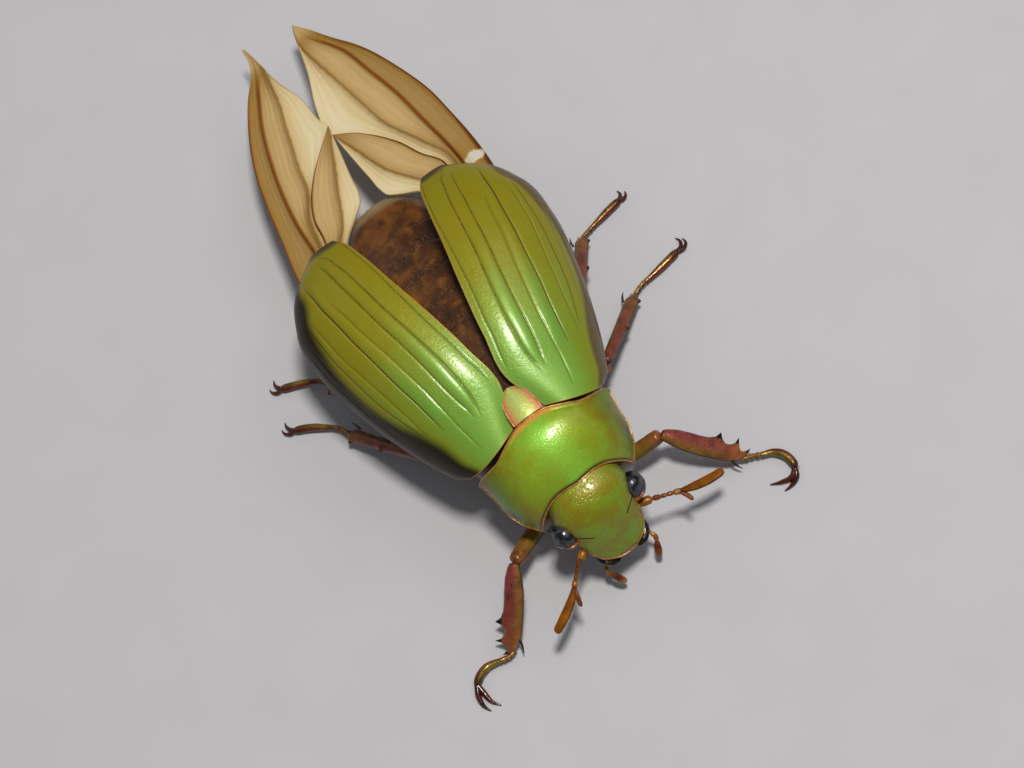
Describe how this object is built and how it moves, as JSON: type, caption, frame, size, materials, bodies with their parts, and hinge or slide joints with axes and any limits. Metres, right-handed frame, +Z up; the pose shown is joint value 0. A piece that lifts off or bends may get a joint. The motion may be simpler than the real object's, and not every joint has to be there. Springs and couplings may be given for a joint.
{
  "type": "chrysina tricolor jewel beetle model",
  "caption": "Life-size still model of a green jewel scarab standing on six legs, wing cases half open and hind wings trailing, for display.",
  "frame": {"origin": "middle of the box's footprint, on the floor that the feet stand on", "axes": "+Z up; -Y the way the beetle heads, so the hind wings trail towards +Y; +X the beetle's left side"},
  "size_m": [0.0332, 0.053, 0.0141],
  "materials": {
    "head_shell": "olive green metallic chitin, finely punctured",
    "shield_shell": "apple green satin metallic chitin with copper edges",
    "wing_case": "green satin metallic chitin with grooved rows and a brown edge",
    "hind_wing": "straw coloured wing membrane with brown veins",
    "body_skin": "amber brown chitin with pale hairs",
    "eye": "glossy near black compound eye",
    "feeler": "amber orange chitin",
    "jaw": "black chitin",
    "leg_upper": "olive and copper metallic chitin",
    "leg_shin": "copper red metallic chitin with black teeth",
    "leg_foot": "bronze gold chitin with dark claws"
  },
  "bodies": {
    "root": {"head": "head_shell", "eye_left": "eye", "eye_right": "eye", "pronotum": "shield_shell", "scutellum": "shield_shell", "elytron_left": "wing_case", "elytron_right": "wing_case", "hindwing_left": "hind_wing", "hindwing_right": "hind_wing", "thorax": "body_skin", "abdomen": "body_skin", "pygidium": "body_skin", "antenna_left": "feeler", "palp_left": "feeler", "mandible_left": "jaw", "antenna_right": "feeler", "palp_right": "feeler", "mandible_right": "jaw", "coxa_front_left": "leg_upper", "femur_front_left": "leg_upper", "tibia_front_left": "leg_shin", "tarsus_front_left": "leg_foot", "coxa_front_right": "leg_upper", "femur_front_right": "leg_upper", "tibia_front_right": "leg_shin", "tarsus_front_right": "leg_foot", "coxa_middle_left": "leg_upper", "femur_middle_left": "leg_upper", "tibia_middle_left": "leg_shin", "tarsus_middle_left": "leg_foot", "coxa_middle_right": "leg_upper", "femur_middle_right": "leg_upper", "tibia_middle_right": "leg_shin", "tarsus_middle_right": "leg_foot", "coxa_hind_left": "leg_upper", "femur_hind_left": "leg_upper", "tibia_hind_left": "leg_shin", "tarsus_hind_left": "leg_foot", "coxa_hind_right": "leg_upper", "femur_hind_right": "leg_upper", "tibia_hind_right": "leg_shin", "tarsus_hind_right": "leg_foot"}
  },
  "joints": []
}
